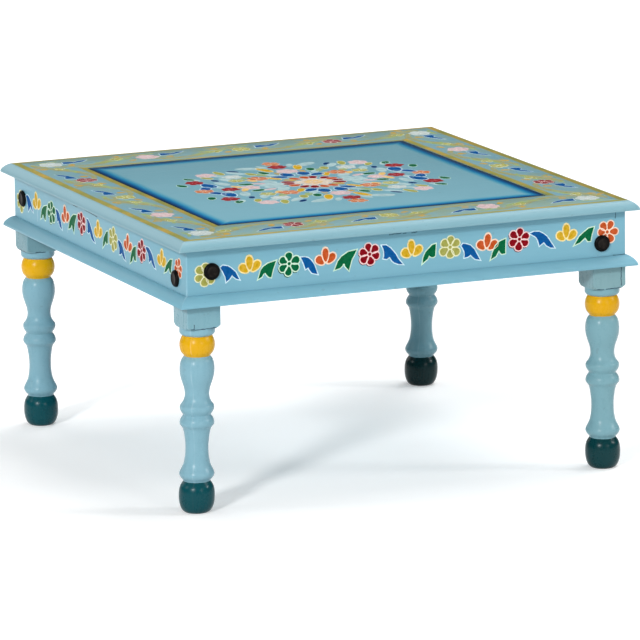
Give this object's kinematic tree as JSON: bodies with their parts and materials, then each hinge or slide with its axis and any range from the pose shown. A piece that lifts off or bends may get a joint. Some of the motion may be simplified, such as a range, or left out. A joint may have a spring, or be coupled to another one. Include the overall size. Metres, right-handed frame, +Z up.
{
  "type": "low table",
  "caption": "Square low table with a framed top, moulded edges, painted apron and turned legs bolted into the corners.",
  "frame": {"origin": "on the floor under the middle of the table", "axes": "+Z up, +X to the right of the front, which faces -Y"},
  "size_m": [0.7, 0.7, 0.388],
  "materials": {
    "frame_paint": "semi-gloss light blue paint with ochre scrolls and small flowers",
    "panel_paint": "semi-gloss light blue paint, shaded to navy at the edge, with a flower medallion",
    "apron_paint": "semi-gloss light blue paint with a border of outlined flowers and leaves",
    "leg_paint": "gloss paint: light blue with a yellow bulb and a dark teal foot",
    "zinc_fastener": "dull zinc plate",
    "black_cap": "satin black"
  },
  "bodies": {
    "root": {"top_frame_front": "frame_paint", "top_frame_right": "frame_paint", "top_frame_back": "frame_paint", "top_frame_left": "frame_paint", "top_panel": "panel_paint", "apron_front": "apron_paint", "apron_right": "apron_paint", "apron_back": "apron_paint", "apron_left": "apron_paint", "base_moulding_front": "apron_paint", "base_moulding_right": "apron_paint", "base_moulding_back": "apron_paint", "base_moulding_left": "apron_paint", "leg_front_left": "leg_paint", "leg_front_right": "leg_paint", "leg_back_right": "leg_paint", "leg_back_left": "leg_paint", "leg_bolt_front_left_high": "zinc_fastener", "leg_bolt_front_left_low": "zinc_fastener", "leg_bolt_front_right_high": "zinc_fastener", "leg_bolt_front_right_low": "zinc_fastener", "leg_bolt_back_right_high": "zinc_fastener", "leg_bolt_back_right_low": "zinc_fastener", "leg_bolt_back_left_high": "zinc_fastener", "leg_bolt_back_left_low": "zinc_fastener", "bolt_washer_front_left_high": "zinc_fastener", "bolt_washer_front_left_low": "zinc_fastener", "bolt_washer_front_right_high": "zinc_fastener", "bolt_washer_front_right_low": "zinc_fastener", "bolt_washer_back_right_high": "zinc_fastener", "bolt_washer_back_right_low": "zinc_fastener", "bolt_washer_back_left_high": "zinc_fastener", "bolt_washer_back_left_low": "zinc_fastener", "bolt_nut_front_left_high": "zinc_fastener", "bolt_nut_front_left_low": "zinc_fastener", "bolt_nut_front_right_high": "zinc_fastener", "bolt_nut_front_right_low": "zinc_fastener", "bolt_nut_back_right_high": "zinc_fastener", "bolt_nut_back_right_low": "zinc_fastener", "bolt_nut_back_left_high": "zinc_fastener", "bolt_nut_back_left_low": "zinc_fastener", "bolt_cap_front_left_high": "black_cap", "bolt_cap_front_left_low": "black_cap", "bolt_cap_front_right_high": "black_cap", "bolt_cap_front_right_low": "black_cap", "bolt_cap_back_right_high": "black_cap", "bolt_cap_back_right_low": "black_cap", "bolt_cap_back_left_high": "black_cap", "bolt_cap_back_left_low": "black_cap"}
  },
  "joints": []
}
